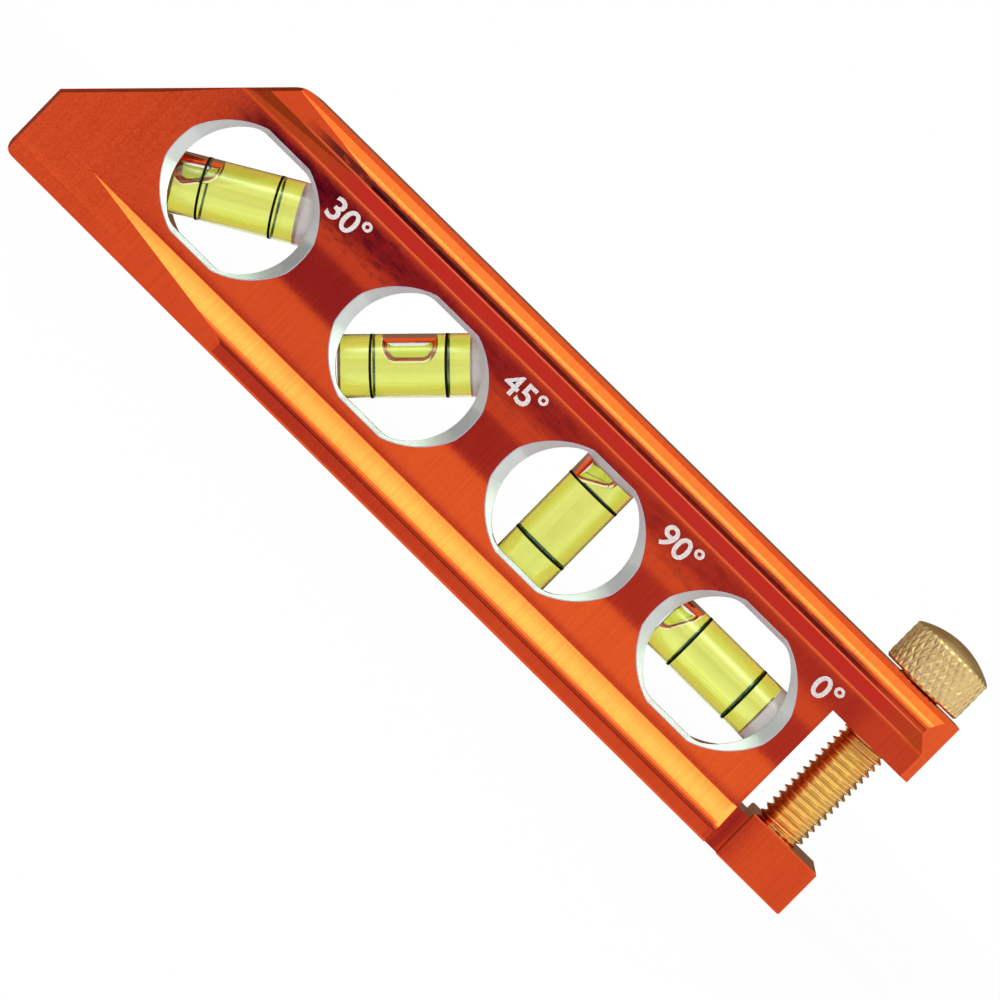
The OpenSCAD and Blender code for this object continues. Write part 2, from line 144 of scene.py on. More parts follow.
# The studio, in metres: the place of the front card, the distance of the key card and the angle that
# it stands at over the floor, what the lamps aim at, and the camera
FRONT_Y = -0.256
KEY_DISTANCE = 0.7
KEY_RISE = math.radians(51.8)
LAMP_AIM = Vector((0, 0, 0.02))
CAMERA_PLACE = Vector((20.0, -607.0, 47.8)) * MM
CAMERA_RIGHT = Vector((0.711757, 0.052484, 0.700462))
CAMERA_FORWARD = Vector((-0.019008, 0.998279, -0.055484))


class Wire:
    """A socket of a node tree. Arithmetic on it adds Math nodes, and make() adds any other node."""

    def __init__(self, tree, socket=None):
        self.tree = tree
        self.socket = socket

    def make(self, kind, inputs=None, out=0, **settings):
        """Adds a node with its settings, then its sockets' values or links, and gives one output."""
        node = self.tree.nodes.new(kind)
        for name, value in settings.items():
            setattr(node, name, value)
        for key, value in (inputs or {}).items():
            if isinstance(value, Wire):
                self.tree.links.new(value.socket, node.inputs[key])
            else:
                node.inputs[key].default_value = value
        return Wire(self.tree, node.outputs[out])

    def math(self, operation, *values):
        """Adds a Math node on values and wires."""
        return self.make("ShaderNodeMath", dict(enumerate(values)), operation=operation)

    def __add__(self, other):
        return self.math("ADD", self, other)

    def __radd__(self, other):
        return self.math("ADD", other, self)

    def __sub__(self, other):
        return self.math("SUBTRACT", self, other)

    def __rsub__(self, other):
        return self.math("SUBTRACT", other, self)

    def __mul__(self, other):
        return self.math("MULTIPLY", self, other)

    def __rmul__(self, other):
        return self.math("MULTIPLY", other, self)

    def __truediv__(self, other):
        return self.math("DIVIDE", self, other)

    def __rtruediv__(self, other):
        return self.math("DIVIDE", other, self)

    def __gt__(self, other):
        return self.math("GREATER_THAN", self, other)

    def __lt__(self, other):
        return self.math("LESS_THAN", self, other)

    def least(self, other):
        """The smaller of the two."""
        return self.math("MINIMUM", self, other)

    def most(self, other):
        """The larger of the two."""
        return self.math("MAXIMUM", self, other)

    def length_with(self, other):
        """A point's distance from an axis, from its two ways across it."""
        return self.math("SQRT", self * self + other * other)

    def parts(self):
        """The x, y and z of a vector."""
        return [self.make("ShaderNodeSeparateXYZ", {0: self}, out=i) for i in range(3)]

    def rise(self, low, high):
        """Goes smoothly from 0 at low to 1 at high."""
        return self.make("ShaderNodeMapRange", {"Value": self, "From Min": low, "From Max": high},
                         interpolation_type="SMOOTHSTEP")

    def band(self, low, high, soft):
        """1 between low and high, with soft edges."""
        return self.rise(low - soft, low + soft) * (1 - self.rise(high - soft, high + soft))


def srgb(red, green, blue):
    """A colour given as it looks on screen, 0 to 255, as a linear one."""
    def linear(v):
        v /= 255
        return v / 12.92 if v <= 0.04045 else ((v + 0.055) / 1.055) ** 2.4
    return (linear(red), linear(green), linear(blue), 1.0)


def mix(factor, low, high):
    """The colour low where factor is 0 and high where it is 1."""
    return factor.make("ShaderNodeMix", {0: factor, 6: low, 7: high}, out=2, data_type="RGBA")


class Finish:
    """A new material with one Principled shader. Its patterns lie on the object's own coordinates."""

    def __init__(self, name, **constants):
        self.material = bpy.data.materials.new(name)
        self.material.use_nodes = True
        tree = self.material.node_tree
        tree.nodes.clear()
        self.shader = tree.nodes.new("ShaderNodeBsdfPrincipled")
        output = tree.nodes.new("ShaderNodeOutputMaterial")
        tree.links.new(self.shader.outputs[0], output.inputs["Surface"])
        for socket, value in constants.items():
            self.shader.inputs[socket.replace("_", " ")].default_value = value
        self.net = Wire(tree)
        self.place = self.net.make("ShaderNodeTexCoord", out="Object")

    def scaled(self, scale, centre=(0, 0, 0), turn=(0, 0, 0)):
        """Object coordinates, centred and turned, times a scale: one number, or one for each axis."""
        each = scale if isinstance(scale, tuple) else (scale, scale, scale)
        moved = self.net.make("ShaderNodeMapping", {
            "Vector": self.place, "Location": [-c for c in centre]})
        return self.net.make("ShaderNodeMapping", {"Vector": moved, "Rotation": turn, "Scale": each})

    def spot(self, centre=(0, 0, 0), turn=(0, 0, 0)):
        """The x, y and z of a point in millimetres, from a centre given in metres."""
        return self.scaled(1 / MM, centre, turn).parts()

    def noise_at(self, vector, detail=2.0):
        """Noise on a vector of the caller's own."""
        return self.net.make("ShaderNodeTexNoise", {"Vector": vector, "Scale": 1.0, "Detail": detail})

    def noise(self, scale, detail=2.0, centre=(0, 0, 0), turn=(0, 0, 0)):
        """Noise of this many waves a metre: one number, or one for each axis."""
        return self.noise_at(self.scaled(scale, centre, turn), detail)

    def feed(self, socket, wire):
        """Links a wire to a socket of the shader."""
        self.net.tree.links.new(wire.socket, self.shader.inputs[socket])

    def bump(self, height, distance):
        """Raises the surface by height times distance, which is in millimetres."""
        self.feed("Normal", self.net.make("ShaderNodeBump", {
            "Height": height, "Strength": 1.0, "Distance": distance * MM}))


def anodised():
    """Orange-red anodised aluminium, milled across, with painted dark reflections on the top rail and
    over the windows, and a slope in front painted redder, with painted highlights on its edges.
    """
    f = Finish("anodised_body", Metallic=1.0)
    u, y, z = f.spot(centre=along(0))
    front = 1 - y.rise(-1, 1)
    nose = 1 - u.rise(11, 30)
    rail = 1 - u.rise(RAIL_END_U - 0.4, RAIL_END_U + 0.4)

    # Tool marks: straight ones, slanted ones low on the nose, and a grain that is coarser on the nose
    mill = f.noise((2600, 40, 60), detail=3.0)
    slant = f.noise((2400, 60, 120), detail=3.0, turn=(0, math.radians(-38), 0))
    low = (1 - u.rise(38, 46)) * (1 - z.rise(7, 9))
    marks = mill * (1 - low) + slant * low
    grain = f.noise(3600)
    cloud = f.noise(60, detail=3.0)
    blotch = f.noise((420, 420, 1300), detail=4.0)

    # Painted dark reflections: a dark mottled line on the top rail and dark patches over the windows.
    # The slope in front is painted redder as a painted reflection, with painted highlights on its edges
    painted_dark_line = z.band(33.6, 34.7, 0.15) * u.band(32, 143, 4) * (0.95 - 0.35 * u.rise(45, 85))
    # Painted dark reflection on the top rail, kept in mottled patches by the blotch noise
    worn = painted_dark_line * blotch.rise(0.2, 0.5)
    # Painted dark reflection: mottled dark patches in the web's dark upper band, over the windows
    painted_dark_strip = z.band(24, 30.4, 0.8) * u.band(22, 124, 6) * (1 - 0.5 * u.rise(47, 80))
    painted_dark_patches = painted_dark_strip * blotch.rise(0.42, 0.66) * 0.55
    slope = z.band(31.15, 33.35, 0.12) * u.band(38, 151, 5)
    edges = (z.band(30.9, 31.2, 0.06) + z.band(33.22, 33.5, 0.06)) * u.band(30, 154, 2)

    tone = 0.5 + (marks - 0.5) * 0.55 + (grain - 0.5) * (0.35 + 1.1 * nose) + (cloud - 0.5) * 0.3
    colour = mix(tone, srgb(202, 66, 32), srgb(240, 100, 44))
    # Painted reflection: the slope in front is painted redder, the hue it shows where it mirrors dark
    colour = mix(slope * front * 0.9, colour, srgb(238, 58, 48))
    # Painted highlights: pale orange lines along both edges of the slope in front
    colour = mix(edges * front * 0.8, colour, srgb(255, 122, 74))
    # Painted dark reflection: the dark line on the top rail and the dark patches over the windows
    f.feed("Base Color", mix((worn + painted_dark_patches) * front, colour, srgb(98, 38, 32)))
    f.feed("Roughness", 0.02 + nose * 0.16 + grain * 0.02 + marks * 0.015)

    # The hollow of the base rail's slope, the ridges of both rails, and the lean of the top rail's slope
    belly = (z - 4.2) * (z - 4.2) * z.band(2.2, 6.8, 0.3) * rail * SLOPE_BELLY
    ridge = (3.4 - z.most(2.3)).most(0) * 0.10 * rail
    crown = (35.35 - z.most(34.75)).most(0) * 0.10 + (z - 36.6).most(0) * 0.07
    lean = (33.4 - z) * z.band(30.85, 33.3, 0.15) * front * 0.06
    f.bump(marks * 0.0008 + grain * (0.0004 + nose * 0.0025) + lean - belly - ridge - crown, 1.0)
    return f.material


def bright_machined(name, centre):
    """Bright turned aluminium, with fine rings left by the tool round the middle of the window."""
    f = Finish("bright_bezel_" + name, Metallic=1.0)
    x, _, z = f.spot(centre=centre)
    rings = f.noise_at(f.net.make("ShaderNodeCombineXYZ", {0: x.length_with(z) * 9, 1: 0.3, 2: 0.2}))
    cloud = f.noise(300)
    f.feed("Base Color", mix(0.35 * rings + 0.65 * cloud, srgb(196, 203, 198), srgb(234, 240, 235)))
    f.feed("Roughness", 0.24 + rings * 0.2)
    f.bump(rings, 0.01)
    return f.material


def clear_acrylic():
    """Clear moulded plastic, with a trace of haze and shallow scuffs."""
    f = Finish("clear_tube", Metallic=0.0, IOR=1.49, Transmission_Weight=1.0, Specular_IOR_Level=0.3)
    cloud = f.noise(500, detail=3.0)
    f.feed("Base Color", mix(cloud, (0.93, 0.97, 0.95, 1.0), (1.0, 1.0, 1.0, 1.0)))
    f.feed("Roughness", cloud.rise(0.55, 0.8) * 0.05)
    f.bump(cloud, 0.004)
    return f.material


def milky_plastic():
    """The cloudy plastic of the plugs."""
    f = Finish("clear_plug", Metallic=0.0, IOR=1.05, Transmission_Weight=0.55)
    cloud = f.noise(700, detail=3.0)
    f.feed("Base Color", mix(cloud, srgb(228, 222, 219), srgb(246, 242, 240)))
    f.feed("Roughness", 0.3 + cloud * 0.2)
    f.bump(cloud, 0.01)
    return f.material


def vial_liquid(name):
    """Yellow-green spirit, with painted shade: a deeper tone past a straight edge above the middle of
    the vial.
    """
    tilt, start, share = PAINTED_SHADE_TONE[name]
    f = Finish("vial_liquid_" + name, Metallic=0.0, IOR=1.36, Transmission_Weight=1.0, Roughness=0.0)
    _, _, up = f.spot(centre=vial_middle(name), turn=(0, math.radians(tilt), 0))
    plain = mix(f.noise(160, detail=1.0), (0.75, 0.79, 0.085, 1.0), (0.84, 0.86, 0.15, 1.0))
    # Painted shade: a deeper olive tone past a straight edge, tilted in the world and not along the vial
    deeper = up.rise(start - 0.25, start + 0.25) * share
    f.feed("Base Color", mix(deeper, plain, (0.60, 0.62, 0.07, 1.0)))
    return f.material


def line_paint(name):
    """Matt black paint, which lies on the tube and shows through the liquid, with painted light: its
    inner face is green.
    """
    angle = WINDOWS[name][1]
    f = Finish("line_paint_" + name, Metallic=0.0, Specular_IOR_Level=0.1)
    _, y, z = f.spot(centre=vial_middle(name), turn=(0, math.radians(angle), 0))
    # Painted light: the inner face of the line is green, standing in for light through the liquid
    inner = y.length_with(z) < VIAL_R + 0.025
    specks = f.noise(3000)
    black = mix(specks, srgb(6, 8, 7), srgb(24, 28, 24))
    f.feed("Base Color", mix(inner, black, (0.04, 0.36, 0.14, 1.0)))
    f.feed("Roughness", 0.7 + specks * 0.2)
    f.bump(specks, 0.003)
    return f.material


def print_paint():
    """Pale grey printing ink, slightly uneven where it covers the metal's grain."""
    f = Finish("print_paint", Metallic=0.0)
    specks = f.noise(5000)
    f.feed("Base Color", mix(specks.rise(0.3, 0.7), srgb(200, 194, 192), srgb(228, 223, 221)))
    f.feed("Roughness", 0.5 + specks * 0.2)
    f.bump(specks, 0.004)
    return f.material


def magnet_plate():
    """The nickel plate of the magnets, a little dull in patches."""
    f = Finish("magnet_plate", Metallic=1.0)
    cloud = f.noise(900, detail=3.0)
    f.feed("Base Color", mix(cloud, srgb(150, 150, 154), srgb(205, 205, 208)))
    f.feed("Roughness", 0.18 + cloud * 0.25)
    f.bump(cloud, 0.004)
    return f.material


def brass(name, dark, pale, rough, grain_scale, relief):
    """Turned brass with fine rings round the screw's axis and a little tarnish in patches."""
    f = Finish(name, Metallic=1.0)
    rings = f.noise((60, 60, 9000), centre=SCREW_PLACE)
    patches = f.noise(260, detail=3.0)
    grain = f.noise(grain_scale)
    f.feed("Base Color", mix(0.4 * patches + 0.3 * rings + 0.3 * grain, dark, pale))
    f.feed("Roughness", rough + patches * 0.12 + rings * 0.08)
    f.bump(grain * 0.6 + rings * 0.4, relief)
    return f.material


def repaint(node, material):
    """Gives a CAD node one of the finishes."""
    slots = nodes[node].data.materials
    for index in range(len(slots)):
        slots[index] = material


body_finish = anodised()
tube_finish = clear_acrylic()
plug_finish = milky_plastic()
print_finish = print_paint()
magnet_finish = magnet_plate()
thread_finish = brass("brass_thread", srgb(218, 178, 102), srgb(246, 214, 148), 0.2, 2500, 0.002)
knurl_finish = brass("brass_knurl", srgb(196, 160, 98), srgb(244, 218, 156), 0.26, 6000, 0.01)

repaint("level_body", body_finish)
for name in WINDOWS:
    repaint("vial_lines_" + name, line_paint(name))
for number in "123":
    repaint("magnet_" + number, magnet_finish)


def new_object(name, data):
    """An object of the scene, at the origin."""
    made = bpy.data.objects.new(name, data)
    bpy.context.scene.collection.objects.link(made)
    return made


def smooth(mesh, angle):
    """Smooth shading, with sharp edges past the angle in degrees."""
    cage = bmesh.new()
    cage.from_mesh(mesh)
    for face in cage.faces:
        face.smooth = True
    for edge in cage.edges:
        edge.smooth = len(edge.link_faces) == 2 and edge.calc_face_angle(math.pi) < math.radians(angle)
    cage.to_mesh(mesh)
    cage.free()
    return mesh


def turned(name, profile, steps):
    """A closed solid turned round Z, from its profile up the outside: radii and heights."""
    mesh = bpy.data.meshes.new(name)
    cage = bmesh.new()
    rings = []
    for radius, height in profile:
        if radius == 0:
            rings.append([cage.verts.new((0, 0, height * MM))])
            continue
        ring = []
        for step in range(steps):
            angle = 2 * math.pi * step / steps
            spot = (radius * MM * math.cos(angle), radius * MM * math.sin(angle), height * MM)
            ring.append(cage.verts.new(spot))
        rings.append(ring)
    for low, high in zip(rings, rings[1:]):
        for step in range(steps):
            after = (step + 1) % steps
            if len(low) == 1:
                cage.faces.new((low[0], high[after], high[step]))
            elif len(high) == 1:
                cage.faces.new((low[step], low[after], high[0]))
            else:
                cage.faces.new((low[step], low[after], high[after], high[step]))
    bmesh.ops.recalc_face_normals(cage, faces=cage.faces)
    cage.to_mesh(mesh)
    cage.free()
    return new_object(name, mesh)


def geometry_tree(name, sizes):
    """A Geometry Nodes tree with a named input for each size. Gives the tree and its inputs by name."""
    tree = bpy.data.node_groups.new(name, "GeometryNodeTree")
    tree.interface.new_socket("Geometry", in_out="INPUT", socket_type="NodeSocketGeometry")
    tree.interface.new_socket("Geometry", in_out="OUTPUT", socket_type="NodeSocketGeometry")
    for label, value in sizes.items():
        kind = "NodeSocketVector" if isinstance(value, Vector) else "NodeSocketFloat"
        tree.interface.new_socket(label, in_out="INPUT", socket_type=kind)
    group = tree.nodes.new("NodeGroupInput")
    wires = {label: Wire(tree, group.outputs[label]) for label in ("Geometry", *sizes)}
    return tree, wires


def finish_tree(tree, geometry, place, material):
    """Moves the geometry to its place, realizes it and sets its material."""
    net = Wire(tree)
    moved = net.make("GeometryNodeTransform", {"Geometry": geometry, "Translation": place})
    real = net.make("GeometryNodeRealizeInstances", {"Geometry": moved})
    painted = net.make("GeometryNodeSetMaterial", {"Geometry": real, "Material": material})
    end = tree.nodes.new("NodeGroupOutput")
    tree.links.new(painted.socket, end.inputs["Geometry"])


def grown(base, tree, sizes):
    """Runs the tree on an object with these sizes, and keeps the result as a plain mesh."""
    modifier = base.modifiers.new(tree.name, "NODES")
    modifier.node_group = tree
    for item in tree.interface.items_tree:
        if item.in_out == "INPUT" and item.name in sizes:
            modifier[item.identifier] = sizes[item.name]
    bpy.context.view_layer.update()
    mesh = bpy.data.meshes.new_from_object(base.evaluated_get(bpy.context.evaluated_depsgraph_get()))
    base.modifiers.clear()
    base.data = mesh
    return base


def polar(net):
    """A point's x, y, z and radius in metres, and its angle in turns."""
    x, y, z = net.make("GeometryNodeInputPosition").parts()
    return x, y, z, x.length_with(y), net.math("ARCTAN2", y, x) / (2 * math.pi)


def set_radius(net, geometry, x, y, z, radius, wanted):
    """Moves each point in or out to the wanted radius."""
    scale = wanted / radius.most(1e-6)
    spot = net.make("ShaderNodeCombineXYZ", {0: x * scale, 1: y * scale, 2: z})
    return net.make("GeometryNodeSetPosition", {"Geometry": geometry, "Position": spot})


def cut_thread(base):
    """Cuts the right-hand helix of the thread, with a cone at each end."""
    sizes = {"Place": SCREW_PLACE, "Pitch": THREAD_PITCH * MM, "Depth": THREAD_DEPTH * MM,
             "Crest": THREAD_CREST, "Radius": THREAD_R * MM, "Low": ANVIL_H * MM,
             "High": STUD_TOP_Z * MM, "Lead In": THREAD_LEAD_IN * MM}
    tree, wire = geometry_tree("cut_thread", sizes)
    net = Wire(tree)
    x, y, z, radius, turn = polar(net)
    # A whole number of waves is added, so that none is counted from below zero
    phase = net.math("PINGPONG", (z - wire["Low"]) / wire["Pitch"] - turn + 50, 0.5) * 2
    flank = ((phase - wire["Crest"]) / (1 - 2 * wire["Crest"])).most(0).least(1)
    cut = wire["Radius"] - wire["Depth"] * flank
    ends = (z - wire["Low"]).least(wire["High"] - z)
    cone = wire["Radius"] - wire["Lead In"] + ends
    moved = set_radius(net, wire["Geometry"], x, y, z, radius, cut.least(cone))
    finish_tree(tree, moved, wire["Place"], thread_finish)
    return grown(base, tree, sizes)


def roll_knurl(base):
    """Rolls the diamond knurl into the band of the head, a little unevenly."""
    sizes = {"Place": SCREW_PLACE, "Teeth": float(KNURL_TEETH), "Rise": KNURL_RISE * MM,
             "Depth": KNURL_DEPTH * MM, "Flat": KNURL_FLAT, "Radius": HEAD_R * MM,
             "Low": (HEAD_Z + 0.1) * MM, "High": (HEAD_Z + HEAD_H - 0.05) * MM}
    tree, wire = geometry_tree("roll_knurl", sizes)
    net = Wire(tree)
    x, y, z, radius, turn = polar(net)
    wander = net.make("ShaderNodeTexNoise", {"Scale": 330.0, "Detail": 1.0})
    round_it = turn * wire["Teeth"] + wander * 0.9
    climb = (z - wire["Low"]) / wire["Rise"]
    # Here too a whole number of waves is added
    left = net.math("PINGPONG", round_it + climb + 100, 0.5) * 2
    right = net.math("PINGPONG", round_it - climb + 100, 0.5) * 2
    worn = net.make("ShaderNodeTexNoise", {"Scale": 900.0, "Detail": 2.0})
    tooth = (left.least(right) / wire["Flat"]).least(0.55 + 0.8 * worn)
    skin = wire["Radius"] - 0.2 * MM
    near = (radius > skin) * (z > wire["Low"]) * (z < wire["High"])
    cut = radius - near * wire["Depth"] * (1 - tooth).most(0)
    moved = set_radius(net, wire["Geometry"], x, y, z, radius, cut)
    finish_tree(tree, moved, wire["Place"], knurl_finish)
    return grown(base, tree, sizes)


def thumb_thread():
    """The brass stud with its true helical thread."""
    height = STUD_TOP_Z - ANVIL_H
    rings = int(height / THREAD_PITCH * RINGS_A_PITCH)
    wall = [(THREAD_R, ANVIL_H + height * i / rings) for i in range(rings + 1)]
    base = turned("thumb_thread", [(0, ANVIL_H), *wall, (0, STUD_TOP_Z)], THREAD_STEPS)
    piece = cut_thread(base)
    smooth(piece.data, 50)
    return piece


def thumb_knob():
    """The brass head: a knurled band with broken edges, a smooth dome and the socket of the stud."""
    rim = HEAD_R - HEAD_BREAK
    top = HEAD_Z + HEAD_H
    low, high = HEAD_Z + HEAD_BREAK, top - HEAD_BREAK
    band = [(HEAD_R, low + (high - low) * i / KNURL_RINGS) for i in range(KNURL_RINGS + 1)]
    dome_r = (rim * rim + DOME_H * DOME_H) / (2 * DOME_H)
    arc = math.asin(rim / dome_r)
    dome = []
    for i in range(1, DOME_RINGS):
        a = arc * (1 - i / DOME_RINGS)
        dome.append((dome_r * math.sin(a), top + DOME_H - dome_r + dome_r * math.cos(a)))
    profile = [(0, HEAD_Z + SOCKET_H), (SOCKET_R, HEAD_Z + SOCKET_H), (SOCKET_R, HEAD_Z), (rim, HEAD_Z)]
    profile += band + [(rim, top)] + dome + [(0, top + DOME_H)]
    base = turned("thumb_knob", profile, KNURL_TEETH * STEPS_A_TOOTH)
    piece = roll_knurl(base)
    smooth(piece.data, 24)
    return piece


def liquid(name):
    """The liquid of a vial, swelled a little into the tube's wall, so that light passes between them."""
    mesh = nodes["vial_liquid_" + name].data.copy()
    mesh.name = "liquid_" + name
    cage = bmesh.new()
    cage.from_mesh(mesh)
    bmesh.ops.remove_doubles(cage, verts=cage.verts, dist=1e-6)
    bmesh.ops.recalc_face_normals(cage, faces=cage.faces)
    cage.normal_update()
    moves = [(v, v.normal.copy()) for v in cage.verts]
    for vert, normal in moves:
        vert.co += normal * LIQUID_SWELL * MM
    cage.to_mesh(mesh)
    cage.free()
    if mesh.attributes.get("custom_normal"):
        mesh.attributes.remove(mesh.attributes["custom_normal"])
    mesh.materials.clear()
    mesh.materials.append(vial_liquid(name))
    return new_object("liquid_" + name, smooth(mesh, 40))


def flat_reach(flats, a):
    """How far two flats reach from the middle at an angle, where they are this far apart."""
    return flats / 2 / max(abs(math.sin(a)), 0.01)


def window_reach(a):
    """How far a window reaches from its middle at an angle."""
    rise, run = abs(math.sin(a)), math.cos(a)
    long_arc = math.sqrt(WINDOW_ARC_R ** 2 - (WINDOW_ARC_MID * run) ** 2) - WINDOW_ARC_MID * rise
    return min(WINDOW_D / 2, long_arc, flat_reach(WINDOW_H, a))


def softened(values, reach):
    """The mean of each value and its neighbours round a ring."""
    count = len(values)
    share = 2 * reach + 1
    return [sum(values[(i + k) % count] for k in range(-reach, reach + 1)) / share for i in range(count)]


def bezel(name):
    """The bright ring in the front of a window: a thin rim, a broad slope and a narrower inner one."""
    u = WINDOWS[name][0]
    count = BEZEL_STEPS
    angles = [2 * math.pi * i / count for i in range(count)]
    edge = [window_reach(a) - BEZEL_FIT for a in angles]
    rim = [r - BEZEL_RIM for r in edge]
    opening = softened([min(OPENING_R, flat_reach(OPENING_H, a)) for a in angles], 5)
    broad = softened([low + (high - low) * INNER_SHARE for low, high in zip(opening, rim)], 3)
    slope = [SLOPE_DEPTH * (high - low) for low, high in zip(broad, rim)]
    inner = [depth + SLOPE_DEPTH * (high - low) for depth, low, high in zip(slope, opening, broad)]
    flat, back = [0.0] * count, [BEZEL_T] * count
    section = [(flat, edge), (flat, rim), (slope, broad),
               (inner, opening), (back, opening), (back, edge)]
    mesh = bpy.data.meshes.new("bezel_" + name)
    cage = bmesh.new()
    rings = [[cage.verts.new(along(u + r * math.cos(a), WEB_Y + depth, WINDOW_Z + r * math.sin(a)))
              for depth, r, a in zip(depths, radii, angles)] for depths, radii in section]
    for low, high in zip(rings, rings[1:] + rings[:1]):
        for i in range(count):
            after = (i + 1) % count
            cage.faces.new((low[i], low[after], high[after], high[i]))
    bmesh.ops.recalc_face_normals(cage, faces=cage.faces)
    cage.to_mesh(mesh)
    cage.free()
    mesh.materials.append(bright_machined(name, along(u, 0, WINDOW_Z)))
    return new_object("bezel_" + name, smooth(mesh, 16))


def laid_on_vial(piece, name):
    """Lays what was turned round Z along the axis of a vial."""
    angle = math.radians(WINDOWS[name][1])
    axis = Vector((math.cos(angle), 0, math.sin(angle)))
    side = Vector((0, 1, 0))
    centre = vial_middle(name)
    for vert in piece.data.vertices:
        x, y, z = vert.co
        vert.co = centre + side * x + axis.cross(side) * y + axis * z
    return piece


def clear_tube(name):
    """The clear tube round its barrel shaped chamber. The ends are closed."""
    half = VIAL_L / 2
    tube = turned("tube_" + name, [
        (0, -half), (VIAL_R - TUBE_BREAK, -half), (VIAL_R, TUBE_BREAK - half),
        (VIAL_R, half - TUBE_BREAK), (VIAL_R - TUBE_BREAK, half), (0, half)], VIAL_STEPS)
    middle, reach = (CHAMBER_LOW + CHAMBER_HIGH) / 2, (CHAMBER_HIGH - CHAMBER_LOW) / 2
    wall = []
    for i in range(-6, 7):
        k = i / 6
        wall.append((CHAMBER_R + BARREL_RISE * (1 - k * k), middle + reach * k))
    chamber = turned("chamber_" + name, [(0, CHAMBER_LOW), *wall, (0, CHAMBER_HIGH)], VIAL_STEPS)
    chamber.data.flip_normals()
    cage = bmesh.new()
    cage.from_mesh(tube.data)
    cage.from_mesh(chamber.data)
    cage.to_mesh(tube.data)
    cage.free()
    bpy.data.objects.remove(chamber)
    smooth(tube.data, 40)
    tube.data.materials.append(tube_finish)
    return laid_on_vial(tube, name)


def cloudy_plug(name):
    """The plug in the end of a tube, with a broken edge."""
    low, high = CHAMBER_HIGH + PLUG_GAP, VIAL_L / 2 - PLUG_IN
    wall = VIAL_R - PLUG_IN
    profile = [(0, low), (wall, low), (wall, high - 0.15), (wall - 0.2, high), (0, high)]
    plug = turned("plug_" + name, profile, VIAL_STEPS)
    smooth(plug.data, 40)
    plug.data.materials.append(plug_finish)
    return laid_on_vial(plug, name)


def degree_mark(name, left_u, width):
    """A printed number with its degree sign: condensed bold figures, a thin layer on the web."""
    curve = bpy.data.curves.new("mark_" + name, "FONT")
    curve.body = name + "°"
    curve.size = 1.0
    curve.extrude = INK_HALF_T
    curve.offset = FIGURE_SWELL
    source = new_object("mark_" + name + "_text", curve)
    bpy.context.view_layer.update()
    mesh = bpy.data.meshes.new_from_object(source.evaluated_get(bpy.context.evaluated_depsgraph_get()))
    bpy.data.objects.remove(source)
    left, low = (min(v.co[i] for v in mesh.vertices) for i in (0, 1))
    right, high = (max(v.co[i] for v in mesh.vertices) for i in (0, 1))
    for v in mesh.vertices:
        x = (v.co.x - left) * width / (right - left)
        z = (v.co.y - low) * MARK_H / (high - low)
        v.co = along(left_u + x, WEB_Y - INK_OUT - v.co.z, MARK_Z + z)
    cage = bmesh.new()
    cage.from_mesh(mesh)
    bmesh.ops.remove_doubles(cage, verts=cage.verts, dist=1e-7)
    bmesh.ops.recalc_face_normals(cage, faces=cage.faces)
    cage.to_mesh(mesh)
    cage.free()
    mesh.materials.append(print_finish)
    return new_object("mark_" + name, mesh)


# For each piece of a vial: how it is made, the CAD node that it replaces, and its slot
VIAL_PIECES = (
    (liquid, "vial_liquid_", "vial_liquid"),
    (bezel, "vial_bezel_", "bright_bezel"),
    (clear_tube, "vial_tube_", "clear_tube"),
    (cloudy_plug, "vial_plug_", "clear_tube"),
)

for name in WINDOWS:
    for make_piece, node, slot in VIAL_PIECES:
        piece = make_piece(name)
        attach(piece, "level")
        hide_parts(node + name)
        # The metal mirrors the bezels, and not the clear pieces
        piece.visible_glossy = make_piece is bezel

for name, (left_u, width) in MARKS.items():
    piece = degree_mark(name, left_u, width)
    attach(piece, "level")

thread = thumb_thread()
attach(thread, "head")
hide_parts("clamp_stud")

knob = thumb_knob()
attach(knob, "head")
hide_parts("clamp_head")


def sheet_of(name, centre, right, up, width, height):
    """A flat rectangle with its front towards right x up, in metres."""
    right, up = Vector(right).normalized(), Vector(up).normalized()
    mesh = bpy.data.meshes.new(name)
    corners = [Vector(centre) + right * width * i + up * height * j
               for i, j in ((-0.5, -0.5), (0.5, -0.5), (0.5, 0.5), (-0.5, 0.5))]
    mesh.from_pydata(corners, [], [(0, 1, 2, 3)])
    return new_object(name, mesh)


def stage_material(name):
    """An empty material, with the wire that its nodes hang on."""
    material = bpy.data.materials.new(name)
    material.use_nodes = True
    material.node_tree.nodes.clear()
    return material, Wire(material.node_tree)


def close_material(made, material, shader):
    """Ends the material with its shader and gives it to the sheet."""
    end = material.node_tree.nodes.new("ShaderNodeOutputMaterial")
    material.node_tree.links.new(shader.socket, end.inputs["Surface"])
    made.data.materials.append(material)
    return made


def place_on(net):
    """The x, y and z of a point of a sheet, in millimetres."""
    return [part * 1000 for part in net.make("ShaderNodeTexCoord", out="Object").parts()]


def seen_by(net, *rays):
    """1 for these kinds of ray and 0 for the others."""
    seen = net.make("ShaderNodeLightPath", out=rays[0])
    for ray in rays[1:]:
        seen = seen.most(net.make("ShaderNodeLightPath", out=ray))
    return seen


def floor():
    """White to the camera and through glass, with the object's faint shadow near it."""
    made = sheet_of("floor", (0, 0, 0), (1, 0, 0), (0, 1, 0), 12, 12)
    material, net = stage_material("floor_white")
    x, y, _ = place_on(net)
    near = 1 - x.length_with(y).rise(100, 420)
    seen = seen_by(net, "Is Camera Ray", "Is Transmission Ray")
    paper = net.make("ShaderNodeBsdfDiffuse", {"Color": (0.9, 0.9, 0.9, 1)})
    glow = net.make("ShaderNodeEmission", {"Color": (1, 1, 1, 1), "Strength": 1.0})
    both = net.make("ShaderNodeMixShader", {0: seen * (1 - 0.05 * near), 1: paper, 2: glow})
    return close_material(made, material, both)


def toward(level, value, share):
    """The level, moved by a share of the way to another value."""
    return level + (value - level) * share


